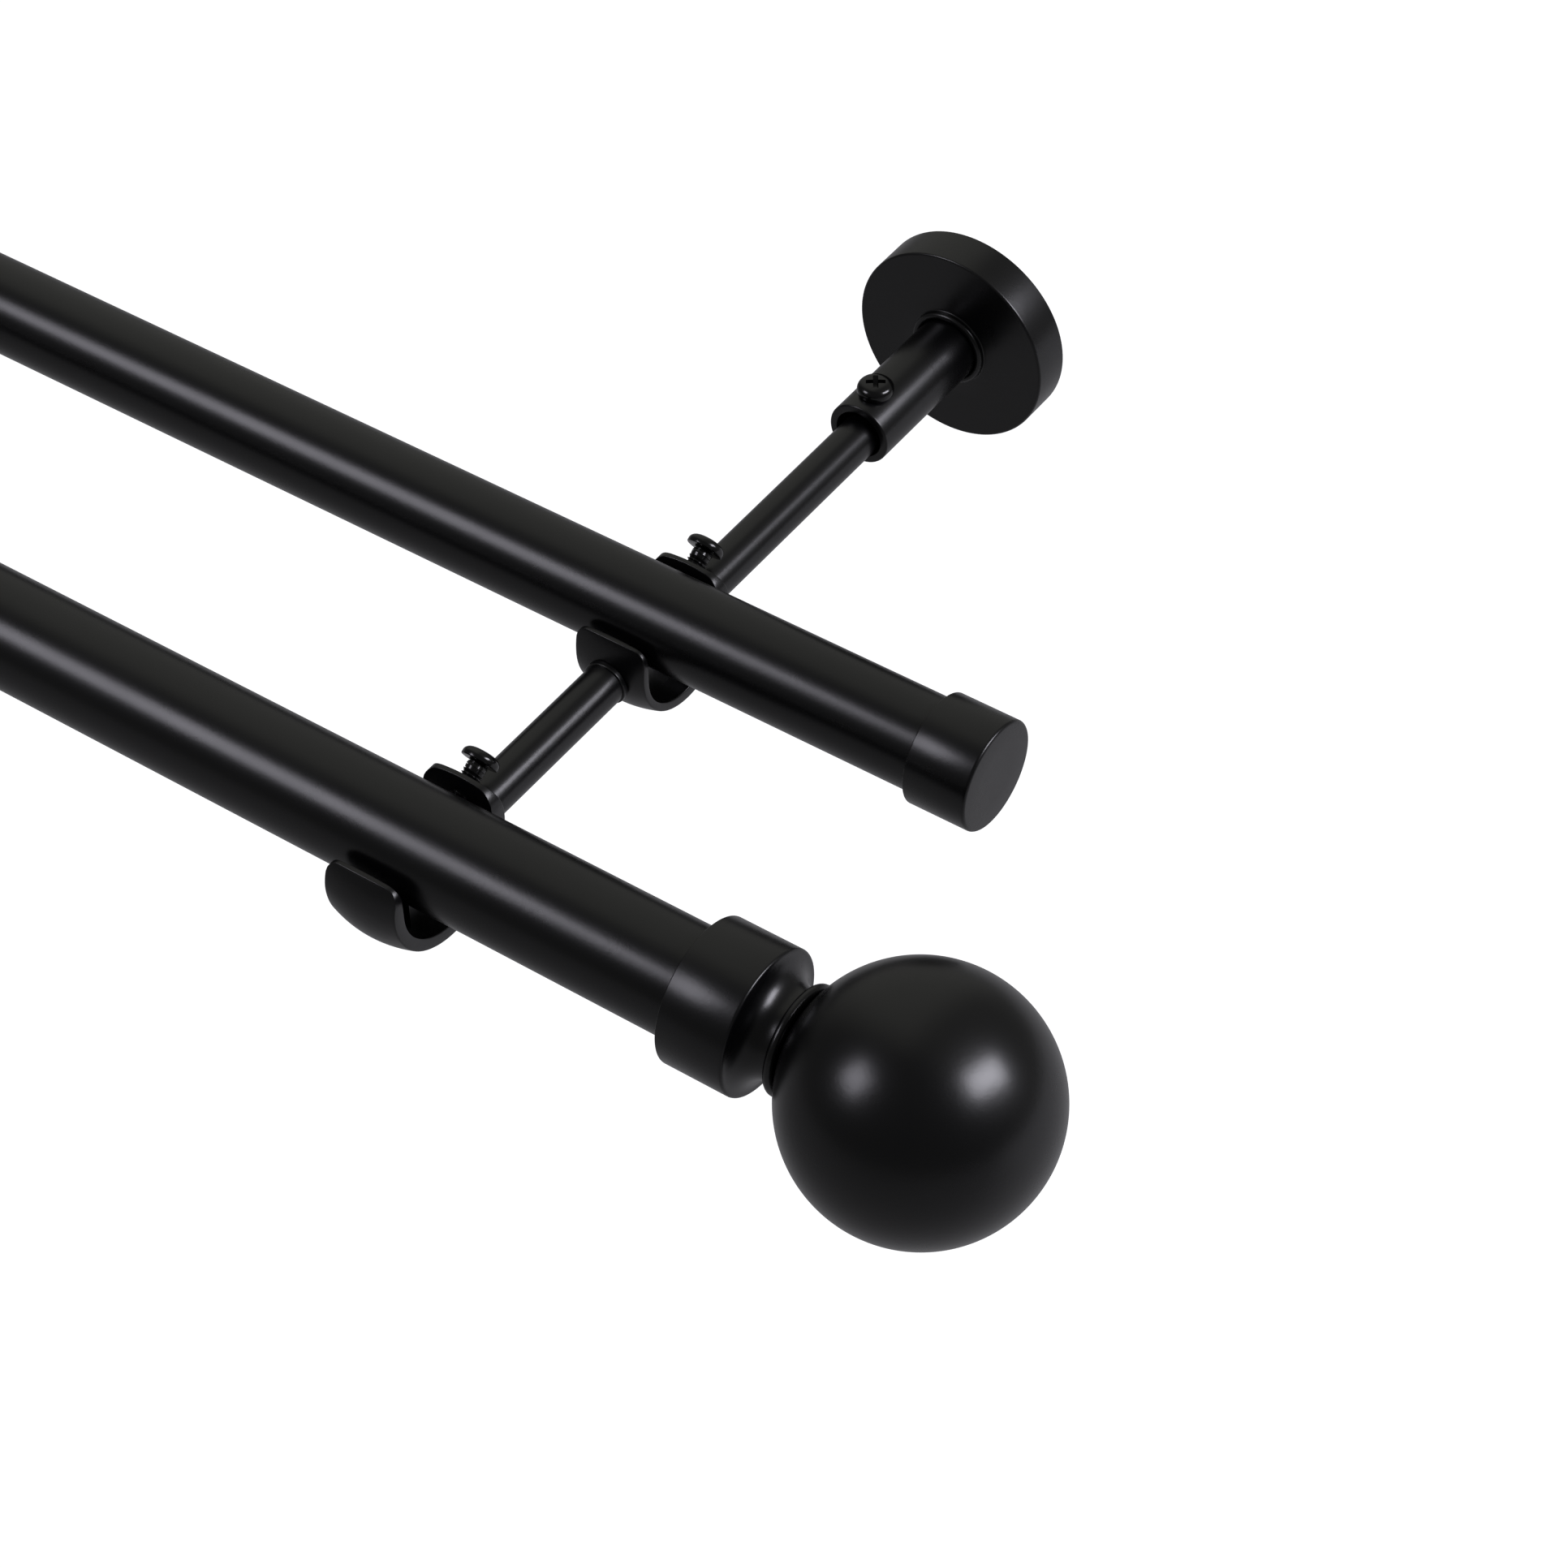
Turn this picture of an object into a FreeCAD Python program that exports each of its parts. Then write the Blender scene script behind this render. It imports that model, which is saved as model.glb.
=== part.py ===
import FreeCAD, Part
import math
import os

# Double curtain pole: a thicker tube in front of a thinner one, carried by two wall brackets.
# Frame: Z up, X along the poles, wall plane at Y = 0, room side towards -Y.
# Origin: on the wall plane, midway between the brackets, at the height of the wall socket's axis.
# Sizes are in millimetres.

V = FreeCAD.Vector
ORIGIN = V(0, 0, 0)
ALONG_X = V(1, 0, 0)
ALONG_Y = V(0, 1, 0)
ALONG_Z = V(0, 0, 1)

# Poles
front_pole_d = 25.0
rear_pole_d = 22.0
pole_wall = 1.0
bracket_spacing = 400.0
pole_overhang = 88.0        # from a bracket's middle to the pole's end

# Places of the poles
front_projection = 216.0    # wall to the front pole's axis
pole_spacing = 84.0         # front pole axis to rear pole axis
pole_rise = 8.6             # pole axes above the arm's axis

# Wall plate and the cover over it
plate_t = 2.5
plate_hole_d = 5.0
plate_hole_pitch = 32.0
cover_d = 51.0
cover_depth = 10.2
cover_wall = 1.2
cover_edge_r = 0.6
cover_neck_gap = 0.3        # between the socket and the rolled lip round it
cover_lip_r = 0.75          # half-round section of the rolled lip
cover_lip_proud = 0.9       # straight stretch of the lip under its round

# Socket that takes the arm, and the bolt that holds it to the plate
socket_d = 16.0
socket_bore_d = 12.0
socket_length = 46.7
socket_bore_depth = 38.7
socket_mouth_bevel = 0.5
plate_bolt_d = 6.0
plate_bolt_head_d = 11.0
plate_bolt_length = 8.5
plate_bolt_hex_r = 2.0
plate_bolt_hex_depth = 1.6

# Arm rods
rod_d = 10.0
rod_engaged = 30.0          # rod inside the socket
rod_end_bevel = 0.8
spigot_d = 6.0              # threaded end of a rod
flange_d = 10.8             # low flange of the front arm against the rear cup
flange_t = 1.2
flange_round = 0.3

# Pan head screws
screw_d = 5.0
screw_head_d = 9.2
screw_head_h = 3.0
screw_dome_h = 1.5
screw_recess_r = 2.5
screw_recess_slot = 1.1
screw_recess_depth = 1.9
screw_recess_taper = 0.35   # floor radius over mouth radius
screw_tip_bevel = 0.6
socket_screw_inset = 7.2    # from the socket's mouth
cup_screw_length = 10.7
cup_screw_tilt = 30.0       # degrees above the arm's direction
cup_screw_proud = 7.5       # bare thread behind the cup, under the head

# Cups
cup_width = 18.6
cup_lip_t = 1.8
cup_crown = 1.3             # how far the outside bulges across the width
cup_edge_r = 0.4
cup_band_overlap = 0.3      # of the crowned band and the core inside it
saddle_width = 8.0
saddle_reach = 7.5          # half length of the saddle across the pole
lip_arch = 0.5
lip_corner_r = 1.8
tongue_arch = 1.3
tongue_corner_r = 2.6
cup_trim = 2.0              # walls made this much too high before their tops are cut
spigot_short = 0.3          # thread ends this far inside a cup's wall

# Rear cap
cap_d = 26.0
cap_skirt = 12.5            # covers this much of the pole
cap_end_t = 3.0
cap_edge_r = 0.7

# Finial
collar_d = 33.2
collar_skirt = 13.6
collar_web_t = 2.0
collar_edge_r = 0.7
neck_d = 20.8
neck_length = 1.0
bead_d = 25.0
bead_t = 2.4
ball_d = 58.4
ball_wall = 2.5
stud_d = 8.0
stud_in_base = 7.0
stud_in_ball = 12.0
stud_boss_d = 14.0
stud_end_bevel = 0.6

# Clearances
fit_gap = 0.05              # threads and push fits
rest_gap = 0.1              # between a round piece and the seat it lies on
cover_gap = 0.3             # cover over the plate's rim

# Derived sizes and places
bracket_x = bracket_spacing / 2
pole_length = bracket_spacing + 2 * pole_overhang
plate_d = cover_d - 2 * (cover_wall + cover_gap)
rod_r = rod_d / 2
rod_z = -((socket_bore_d - rod_d) / 2 - rest_gap)
pole_z = rod_z + pole_rise
front_y = -front_projection
rear_y = -(front_projection - pole_spacing)
socket_mouth_y = -(plate_t + socket_length)
rod_back_y = socket_mouth_y + rod_engaged

# Cup sections, in a frame whose X axis is the pole's: the inside's radius and its centre's depth below the
# pole, thickness at the bottom, shift of the outside towards the wall, tops of lip and tongue, and the
# height where the screw leaves the tongue
front_cup_form = {"pole_r": front_pole_d / 2, "inner_r": 14.9, "drop": 5.0, "bottom_t": 4.9, "shift": 0.7,
                  "lip_z": 4.4, "tongue_z": 5.1, "screw_z": -0.3}
rear_cup_form = {"pole_r": rear_pole_d / 2, "inner_r": 12.9, "drop": 6.6, "bottom_t": 4.4, "shift": 1.4,
                 "lip_z": 2.6, "tongue_z": 3.2, "screw_z": -1.4}


def cyl(radius, length, base, axis):
    return Part.makeCylinder(radius, length, base, axis)


def revolved(edges_profile, base, axis):
    face = Part.Face(Part.Wire(edges_profile))
    return face.revolve(base, axis, 360)


def arc(first, middle, last):
    return Part.Arc(first, middle, last).toShape()


def line(first, last):
    return Part.makeLine(first, last)


def round_edges(solid, radius, chosen):
    return solid.makeFillet(radius, [edge for edge in solid.Edges if chosen(edge)])


def circle_at(edge, axis, place, radius):
    """A full circle about the given axis (0, 1 or 2), at this coordinate along it and of this radius."""
    curve = edge.Curve
    if not isinstance(curve, Part.Circle) or abs(curve.Radius - radius) > 1e-4:
        return False
    return abs(curve.Center[axis] - place) < 1e-4 and abs(abs(curve.Axis[axis]) - 1) < 1e-6


def plain_tube(outer_d, wall, length, y):
    start = V(-length / 2, y, pole_z)
    outer = cyl(outer_d / 2, length, start, ALONG_X)
    return outer.cut(cyl(outer_d / 2 - wall, length, start, ALONG_X))


def pan_screw(length):
    """Screw with its head's underside at the origin, head towards +Z."""
    shank_r = screw_d / 2
    head_r = screw_head_d / 2
    rim_h = screw_head_h - screw_dome_h
    tip_z = screw_tip_bevel - length
    points = [V(0, 0, -length), V(shank_r - screw_tip_bevel, 0, -length), V(shank_r, 0, tip_z),
              V(shank_r, 0, 0), V(head_r, 0, 0), V(head_r, 0, rim_h)]
    edges = [line(points[i], points[i + 1]) for i in range(len(points) - 1)]
    top = V(0, 0, screw_head_h)
    ball_r = (head_r ** 2 + screw_dome_h ** 2) / (2 * screw_dome_h)
    half = math.asin(head_r / ball_r) / 2
    dome_mid = V(ball_r * math.sin(half), 0, screw_head_h - ball_r * (1 - math.cos(half)))
    edges += [arc(points[-1], dome_mid, top), line(top, points[0])]
    screw = revolved(edges, ORIGIN, ALONG_Z)
    floor = screw_head_h - screw_recess_depth
    floor_r = screw_recess_r * screw_recess_taper
    taper = Part.makeCone(floor_r, screw_recess_r, screw_recess_depth, V(0, 0, floor), ALONG_Z)
    span = 2 * screw_recess_r
    slot = screw_recess_slot
    bar = Part.makeBox(span, slot, screw_recess_depth, V(-span / 2, -slot / 2, floor))
    cross = bar.fuse(Part.makeBox(slot, span, screw_recess_depth, V(-slot / 2, -span / 2, floor)))
    return screw.cut(cross.common(taper))


def wall_plate():
    plate = cyl(plate_d / 2, plate_t, V(0, -plate_t, 0), ALONG_Y)
    for side in (-1, 1):
        hole_base = V(0, -plate_t, side * plate_hole_pitch / 2)
        plate = plate.cut(cyl(plate_hole_d / 2, plate_t, hole_base, ALONG_Y))
    return plate.cut(bolt_form(fit_gap))


def bolt_form(gap):
    """Countersunk bolt from the plate's back into the socket, grown by a gap to cut its own seat."""
    head_h = (plate_bolt_head_d - plate_bolt_d) / 2
    shank = cyl(plate_bolt_d / 2 + gap, plate_bolt_length, V(0, -plate_bolt_length, 0), ALONG_Y)
    head_r = plate_bolt_head_d / 2
    head = Part.makeCone(plate_bolt_d / 2 + gap, head_r + gap, head_h, V(0, -head_h, 0), ALONG_Y)
    return shank.fuse(head)


def plate_bolt():
    bolt = bolt_form(0)
    angles = [k * math.pi / 3 for k in range(7)]
    corners = [V(math.cos(angle), 0, math.sin(angle)) * plate_bolt_hex_r for angle in angles]
    hexagon = Part.Face(Part.makePolygon(corners))
    return bolt.cut(hexagon.extrude(V(0, -plate_bolt_hex_depth, 0)))


def wall_socket():
    socket = cyl(socket_d / 2, socket_length, V(0, socket_mouth_y, 0), ALONG_Y)
    socket = socket.cut(cyl(socket_bore_d / 2, socket_bore_depth, V(0, socket_mouth_y, 0), ALONG_Y))
    socket = socket.cut(bolt_form(fit_gap))
    screw_y = socket_mouth_y + socket_screw_inset
    socket = socket.cut(cyl(screw_d / 2 + fit_gap, socket_d, V(0, screw_y, 0), ALONG_Z))
    mouth = [e for e in socket.Edges if circle_at(e, 1, socket_mouth_y, socket_d / 2)]
    return socket.makeFillet(socket_mouth_bevel, mouth)


def socket_screw():
    """Clamps the rod from above; its tip stops at the rod and its head stands on the socket's crown."""
    tip_z = rod_z + rod_r + rest_gap
    head_z = socket_d / 2 + rest_gap
    screw = pan_screw(head_z - tip_z)
    screw.rotate(ORIGIN, ALONG_Z, 45)
    screw.translate(V(0, socket_mouth_y + socket_screw_inset, head_z))
    return screw


def cover_rosette():
    """Pressed shell: rim, face with a small edge radius, and a rolled lip round the socket."""
    outer_r = cover_d / 2
    face_y = -cover_depth
    inner_r = outer_r - cover_wall
    back_y = face_y + cover_wall
    lip_in = socket_d / 2 + cover_neck_gap
    lip_out = lip_in + 2 * cover_lip_r
    lip_top = face_y - cover_lip_proud
    k = math.sqrt(0.5)
    er = cover_edge_r
    outline = [
        line(V(lip_in, back_y, 0), V(lip_in, lip_top, 0)),
        arc(V(lip_in, lip_top, 0), V(lip_in + cover_lip_r, lip_top - cover_lip_r, 0),
            V(lip_out, lip_top, 0)),
        line(V(lip_out, lip_top, 0), V(lip_out, face_y, 0)),
        line(V(lip_out, face_y, 0), V(outer_r - er, face_y, 0)),
        arc(V(outer_r - er, face_y, 0), V(outer_r - er + er * k, face_y + er - er * k, 0),
            V(outer_r, face_y + er, 0)),
        line(V(outer_r, face_y + er, 0), V(outer_r, 0, 0)),
        line(V(outer_r, 0, 0), V(inner_r, 0, 0)),
        line(V(inner_r, 0, 0), V(inner_r, back_y, 0)),
        line(V(inner_r, back_y, 0), V(lip_in, back_y, 0)),
    ]
    return revolved(outline, ORIGIN, ALONG_Y)


def cup_outside_y(form, side, below):
    """Outside of a cup on the lip side (-1) or the wall side (+1), this far below the arm's axis."""
    outer_r = form["inner_r"] + form["bottom_t"]
    return form["shift"] + side * math.sqrt(outer_r ** 2 - (form["drop"] - pole_rise - below) ** 2)


def spigot(form, cup_y, side):
    """Threaded end of an arm through one wall of a cup, from the shoulder to just short of the inside."""
    inside = math.sqrt(form["inner_r"] ** 2 - (form["drop"] - pole_rise) ** 2) + spigot_short
    shoulder = abs(cup_outside_y(form, side, rod_r))
    return cyl(spigot_d / 2, shoulder - inside, V(0, cup_y + side * shoulder, rod_z), ALONG_Y * -side)


def rear_arm():
    """Rod from the wall socket to the rear cup."""
    shoulder_y = rear_y + cup_outside_y(rear_cup_form, 1, rod_r)
    arm = cyl(rod_r, rod_back_y - shoulder_y, V(0, shoulder_y, rod_z), ALONG_Y)
    arm = arm.makeChamfer(rod_end_bevel, [e for e in arm.Edges if circle_at(e, 1, rod_back_y, rod_r)])
    return arm.fuse(spigot(rear_cup_form, rear_y, 1))


def front_arm():
    """Rod between the cups, with a low flange seated on the rear cup's face."""
    back_y = rear_y + cup_outside_y(rear_cup_form, -1, rod_r)
    shoulder_y = front_y + cup_outside_y(front_cup_form, 1, rod_r)
    arm = cyl(rod_r, back_y - shoulder_y, V(0, shoulder_y, rod_z), ALONG_Y)
    flange_y = rear_y + cup_outside_y(rear_cup_form, -1, 0) - flange_t
    flange = cyl(flange_d / 2, flange_t, V(0, flange_y, rod_z), ALONG_Y)
    rim = [e for e in flange.Edges if circle_at(e, 1, flange_y, flange_d / 2)]
    arm = arm.fuse(flange.makeFillet(flange_round, rim))
    return arm.fuse([spigot(rear_cup_form, rear_y, -1), spigot(front_cup_form, front_y, 1)])


def tangent_arc(centre, radius, angle, end):
    """Arc that leaves a circle at an angle, tangent to it, and runs to the end point."""
    out = V(0, math.cos(angle), math.sin(angle))
    start = centre + out * radius
    to_end = end - centre
    offset = (radius ** 2 - to_end.dot(to_end)) / (2 * (radius - out.dot(to_end)))
    pivot = centre + out * offset
    middle = (start - pivot) + (end - pivot)
    middle = pivot + middle * ((start - pivot).Length / middle.Length)
    return start, arc(start, middle, end)


def cup_top(form):
    return max(form["lip_z"], form["tongue_z"]) + cup_trim


def cup_outline(form, inset):
    """Outside of a cup in the YZ plane, inset this far: three arcs, and the line over their ends."""
    centre = V(0, form["shift"], -form["drop"])
    radius = form["inner_r"] + form["bottom_t"] - inset
    top = cup_top(form)
    edge_y = form["inner_r"] + cup_lip_t - inset
    front_top = V(0, -edge_y, top)
    back_top = V(0, edge_y, top)
    front_start, front_arc = tangent_arc(centre, radius, math.radians(200), front_top)
    back_start, back_arc = tangent_arc(centre, radius, math.radians(-20), back_top)
    bottom = arc(front_start, centre + V(0, 0, -radius), back_start)
    return [front_arc, bottom, back_arc], line(back_top, front_top)


def band_section(apex, depth):
    """Section across the crowned band: the crown's arc, an edge radius at each side, and a flat inside."""
    half = cup_width / 2
    crown_r = (half ** 2 + cup_crown ** 2) / (2 * cup_crown)
    pivot = apex + V(0, crown_r, 0)
    corner_x = half - cup_edge_r
    corner_y = pivot.y - math.sqrt((crown_r - cup_edge_r) ** 2 - corner_x ** 2)
    edges = []
    ends = []
    for side in (-1, 1):
        corner = V(side * corner_x, corner_y, apex.z)
        out = (corner - pivot).normalize()
        on_crown = pivot + out * crown_r
        bisector = (out + V(side, 0, 0)).normalize()
        on_side = corner + V(side * cup_edge_r, 0, 0)
        edges.append(arc(on_crown, corner + bisector * cup_edge_r, on_side))
        ends.append((on_crown, on_side, V(on_side.x, apex.y + depth, apex.z)))
    (left_crown, left_side, left_in), (right_crown, right_side, right_in) = ends
    return Part.Wire([arc(left_crown, apex, right_crown), edges[1], line(right_side, right_in),
                      line(right_in, left_in), line(left_in, left_side), edges[0]])


def cup_body(form):
    """The outside of a cup: a crowned band swept round the section, with the section's core inside it."""
    band_t = cup_crown + cup_edge_r + cup_band_overlap
    path = Part.Wire(cup_outline(form, 0)[0])
    section = band_section(V(0, -form["inner_r"] - cup_lip_t, cup_top(form)), band_t)
    band = path.makePipeShell([section], True, True)
    arcs, closing = cup_outline(form, band_t - cup_band_overlap)
    core = Part.Face(Part.Wire(arcs + [closing])).extrude(V(cup_width, 0, 0))
    core.translate(V(-cup_width / 2, 0, 0))
    return band.fuse(core)


def top_form(top_z, arch, corner_r, y_from, y_to, low_z):
    """Block that a lip or tongue is trimmed by: an arched top with rounded corners, seen from the room."""
    half = cup_width / 2
    shoulder = top_z - arch
    outline = [line(V(-half, y_from, low_z), V(-half, y_from, shoulder)),
               arc(V(-half, y_from, shoulder), V(0, y_from, top_z), V(half, y_from, shoulder)),
               line(V(half, y_from, shoulder), V(half, y_from, low_z)),
               line(V(half, y_from, low_z), V(-half, y_from, low_z))]
    block = Part.Face(Part.Wire(outline)).extrude(V(0, y_to - y_from, 0))
    return round_edges(block, corner_r, lambda e: is_corner(e, shoulder))


def is_corner(edge, z):
    ends = edge.Vertexes
    return len(ends) == 2 and all(abs(v.Z - z) < 1e-6 for v in ends) and abs(ends[0].X - ends[1].X) < 1e-6


def cup(form):
    """Cast U-shaped cup in the pole's frame: crowned walls, arched lip and tongue, and a saddle."""
    inner_r = form["inner_r"]
    drop = form["drop"]
    reach = inner_r + form["bottom_t"] + form["shift"] + cup_trim
    low = -(drop + reach)
    keep_front = top_form(form["lip_z"], lip_arch, lip_corner_r, -reach, 0, low)
    keep_back = top_form(form["tongue_z"], tongue_arch, tongue_corner_r, 0, reach, low)
    body = cup_body(form).common(keep_front.fuse(keep_back))
    hollow = cyl(inner_r, cup_width, V(-cup_width / 2, 0, -drop), ALONG_X)
    mouth = Part.makeBox(cup_width, 2 * inner_r, reach + drop, V(-cup_width / 2, -inner_r, -drop))
    hollow = hollow.fuse(mouth)
    return body.cut(hollow).removeSplitter().fuse(saddle(form))


def saddle(form):
    """Block the pole lies on, rooted halfway into the cup's wall."""
    root_r = form["inner_r"] + form["bottom_t"] / 2
    low = -(form["drop"] + root_r)
    side_x = -saddle_width / 2
    block = Part.makeBox(saddle_width, 2 * saddle_reach, -low, V(side_x, -saddle_reach, low))
    block = block.common(cyl(root_r, saddle_width, V(side_x, 0, -form["drop"]), ALONG_X))
    return block.cut(cyl(form["pole_r"] + rest_gap, saddle_width, V(side_x, 0, 0), ALONG_X))


def cup_screw_place(form):
    """Head's seat point and direction of a cup's screw, in the pole's frame."""
    tilt = math.radians(cup_screw_tilt)
    way = V(0, math.cos(tilt), math.sin(tilt))
    leaves = V(0, form["inner_r"] + cup_lip_t, form["screw_z"])
    return leaves + way * cup_screw_proud, way


def cup_screw(form):
    screw = pan_screw(cup_screw_length)
    screw.rotate(ORIGIN, ALONG_X, cup_screw_tilt - 90)
    screw.translate(cup_screw_place(form)[0])
    return screw


def arm_seat(form, side):
    """Cutter for an arm that joins a cup: tapped hole, and a round seat as deep as the arm's shoulder."""
    way = ALONG_Y * side
    seat = V(0, cup_outside_y(form, side, rod_r), -pole_rise)
    through = 2 * form["bottom_t"]
    hole = cyl(spigot_d / 2 + fit_gap, through, seat - way * through, way)
    return hole.fuse(cyl(rod_r + fit_gap, form["bottom_t"], seat, way))


def drilled_cup(form, arm_sides):
    """Cup with its screw's tapped hole and a seat for each arm that screws into it."""
    body = cup(form)
    seat, way = cup_screw_place(form)
    body = body.cut(cyl(screw_d / 2 + fit_gap, cup_screw_length + screw_d, seat, -way))
    return body.cut([arm_seat(form, side) for side in arm_sides])


def front_cup():
    return drilled_cup(front_cup_form, [1])


def rear_cup():
    """Rear cup, its room side faced flat for the flange on the front arm."""
    body = drilled_cup(rear_cup_form, [-1, 1])
    flat = V(0, cup_outside_y(rear_cup_form, -1, 0), -pole_rise)
    return body.cut(cyl(flange_d / 2 + rest_gap, flange_t, flat, -ALONG_Y))


def pole_cap():
    """Turned cap over the rear pole's end, at the origin with its closed end towards +X."""
    length = cap_skirt + cap_end_t
    body = cyl(cap_d / 2, length, ORIGIN, ALONG_X)
    body = body.cut(cyl(rear_pole_d / 2 + fit_gap, cap_skirt, ORIGIN, ALONG_X))
    rim = [e for e in body.Edges if circle_at(e, 0, length, cap_d / 2)]
    return body.makeFillet(cap_edge_r, rim)


def finial_base_length():
    cove_r = (collar_d - neck_d) / 2 - collar_edge_r
    return collar_skirt + collar_web_t + collar_edge_r + cove_r + neck_length + bead_t


def finial_base():
    """Turned base: collar over the pole's end, cove, neck and bead, with its axis on X."""
    collar_r = collar_d / 2
    neck_r = neck_d / 2
    bead_r = bead_d / 2
    cove_r = collar_r - neck_r - collar_edge_r
    k = math.sqrt(0.5)
    edge_x = collar_skirt + collar_web_t
    rim_x = edge_x + collar_edge_r
    cove_x = rim_x + cove_r
    bead_x = cove_x + neck_length
    end_x = bead_x + bead_t
    round_r = bead_t / 2
    pole_r = front_pole_d / 2 + fit_gap
    stud_r = stud_d / 2 + fit_gap
    stud_x = end_x - stud_in_base
    outline = [
        line(V(0, pole_r, 0), V(0, collar_r, 0)),
        line(V(0, collar_r, 0), V(edge_x, collar_r, 0)),
        arc(V(edge_x, collar_r, 0), V(edge_x + collar_edge_r * k, collar_r - collar_edge_r * (1 - k), 0),
            V(rim_x, collar_r - collar_edge_r, 0)),
        arc(V(rim_x, collar_r - collar_edge_r, 0), V(cove_x - cove_r * k, neck_r + cove_r * (1 - k), 0),
            V(cove_x, neck_r, 0)),
        line(V(cove_x, neck_r, 0), V(bead_x, neck_r, 0)),
        line(V(bead_x, neck_r, 0), V(bead_x, bead_r - round_r, 0)),
        arc(V(bead_x, bead_r - round_r, 0), V(bead_x + round_r, bead_r, 0), V(end_x, bead_r - round_r, 0)),
        line(V(end_x, bead_r - round_r, 0), V(end_x, stud_r, 0)),
        line(V(end_x, stud_r, 0), V(stud_x, stud_r, 0)),
        line(V(stud_x, stud_r, 0), V(stud_x, 0, 0)),
        line(V(stud_x, 0, 0), V(collar_skirt, 0, 0)),
        line(V(collar_skirt, 0, 0), V(collar_skirt, pole_r, 0)),
        line(V(collar_skirt, pole_r, 0), V(0, pole_r, 0)),
    ]
    return revolved(outline, ORIGIN, ALONG_X)


def finial_ball():
    """Hollow ball with a flat seat against the base's bead, at X = 0, and a boss inside for the stud."""
    ball_r = ball_d / 2
    seat_r = bead_d / 2 - bead_t
    centre_x = math.sqrt(ball_r ** 2 - seat_r ** 2)
    ball = Part.makeSphere(ball_r, V(centre_x, 0, 0))
    ball = ball.cut(Part.makeBox(ball_r, ball_d, ball_d, V(-ball_r, -ball_r, -ball_r)))
    inside = Part.makeSphere(ball_r - ball_wall, V(centre_x, 0, 0))
    inside = inside.cut(cyl(stud_boss_d / 2, stud_in_ball + ball_wall, ORIGIN, ALONG_X))
    ball = ball.cut(inside)
    return ball.cut(cyl(stud_d / 2 + fit_gap, stud_in_ball, ORIGIN, ALONG_X))


def finial_stud():
    """Threaded stud that joins ball to base; the seat between them is at X = 0."""
    length = stud_in_base + stud_in_ball - 2 * rest_gap
    stud = cyl(stud_d / 2, length, V(rest_gap - stud_in_base, 0, 0), ALONG_X)
    return stud.makeChamfer(stud_end_bevel, [e for e in stud.Edges if isinstance(e.Curve, Part.Circle)])


def mirrored(shape):
    return shape.mirror(ORIGIN, ALONG_X)


def placed(shape, place):
    moved = shape.copy()
    moved.translate(place)
    return moved


def right_side():
    """Every piece of the right-hand bracket and pole ends, by name and in place."""
    front_place = V(bracket_x, front_y, pole_z)
    rear_place = V(bracket_x, rear_y, pole_z)
    pole_end_x = pole_length / 2
    base_x = pole_end_x + rest_gap - collar_skirt
    ball_x = base_x + finial_base_length()
    at_bracket = V(bracket_x, 0, 0)
    return {
        "wall_plate": placed(wall_plate(), at_bracket),
        "plate_bolt": placed(plate_bolt(), at_bracket),
        "cover_rosette": placed(cover_rosette(), at_bracket),
        "wall_socket": placed(wall_socket(), at_bracket),
        "socket_screw": placed(socket_screw(), at_bracket),
        "rear_arm": placed(rear_arm(), at_bracket),
        "front_arm": placed(front_arm(), at_bracket),
        "rear_cup": placed(rear_cup(), rear_place),
        "rear_cup_screw": placed(cup_screw(rear_cup_form), rear_place),
        "front_cup": placed(front_cup(), front_place),
        "front_cup_screw": placed(cup_screw(front_cup_form), front_place),
        "rear_cap": placed(pole_cap(), V(pole_end_x + rest_gap - cap_skirt, rear_y, pole_z)),
        "finial_base": placed(finial_base(), V(base_x, front_y, pole_z)),
        "finial_ball": placed(finial_ball(), V(ball_x, front_y, pole_z)),
        "finial_stud": placed(finial_stud(), V(ball_x, front_y, pole_z)),
    }


def all_nodes():
    nodes = {
        "front_pole": plain_tube(front_pole_d, pole_wall, pole_length, front_y),
        "rear_pole": plain_tube(rear_pole_d, pole_wall, pole_length, rear_y),
    }
    for name, shape in right_side().items():
        nodes[name + "_right"] = shape
        nodes[name + "_left"] = mirrored(shape)
    return nodes


os.makedirs("parts", exist_ok=True)
for node_name, node_shape in all_nodes().items():
    node_shape.exportStep("parts/" + node_name + ".step")
    box = node_shape.BoundBox
    print(node_name, node_shape.isValid(), len(node_shape.Solids), round(node_shape.Volume, 1),
          [round(v, 2) for v in (box.XMin, box.XMax, box.YMin, box.YMax, box.ZMin, box.ZMax)])
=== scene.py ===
import math
import bpy
import bmesh
import numpy as np
from mathutils import Matrix, Quaternion, Vector


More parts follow.
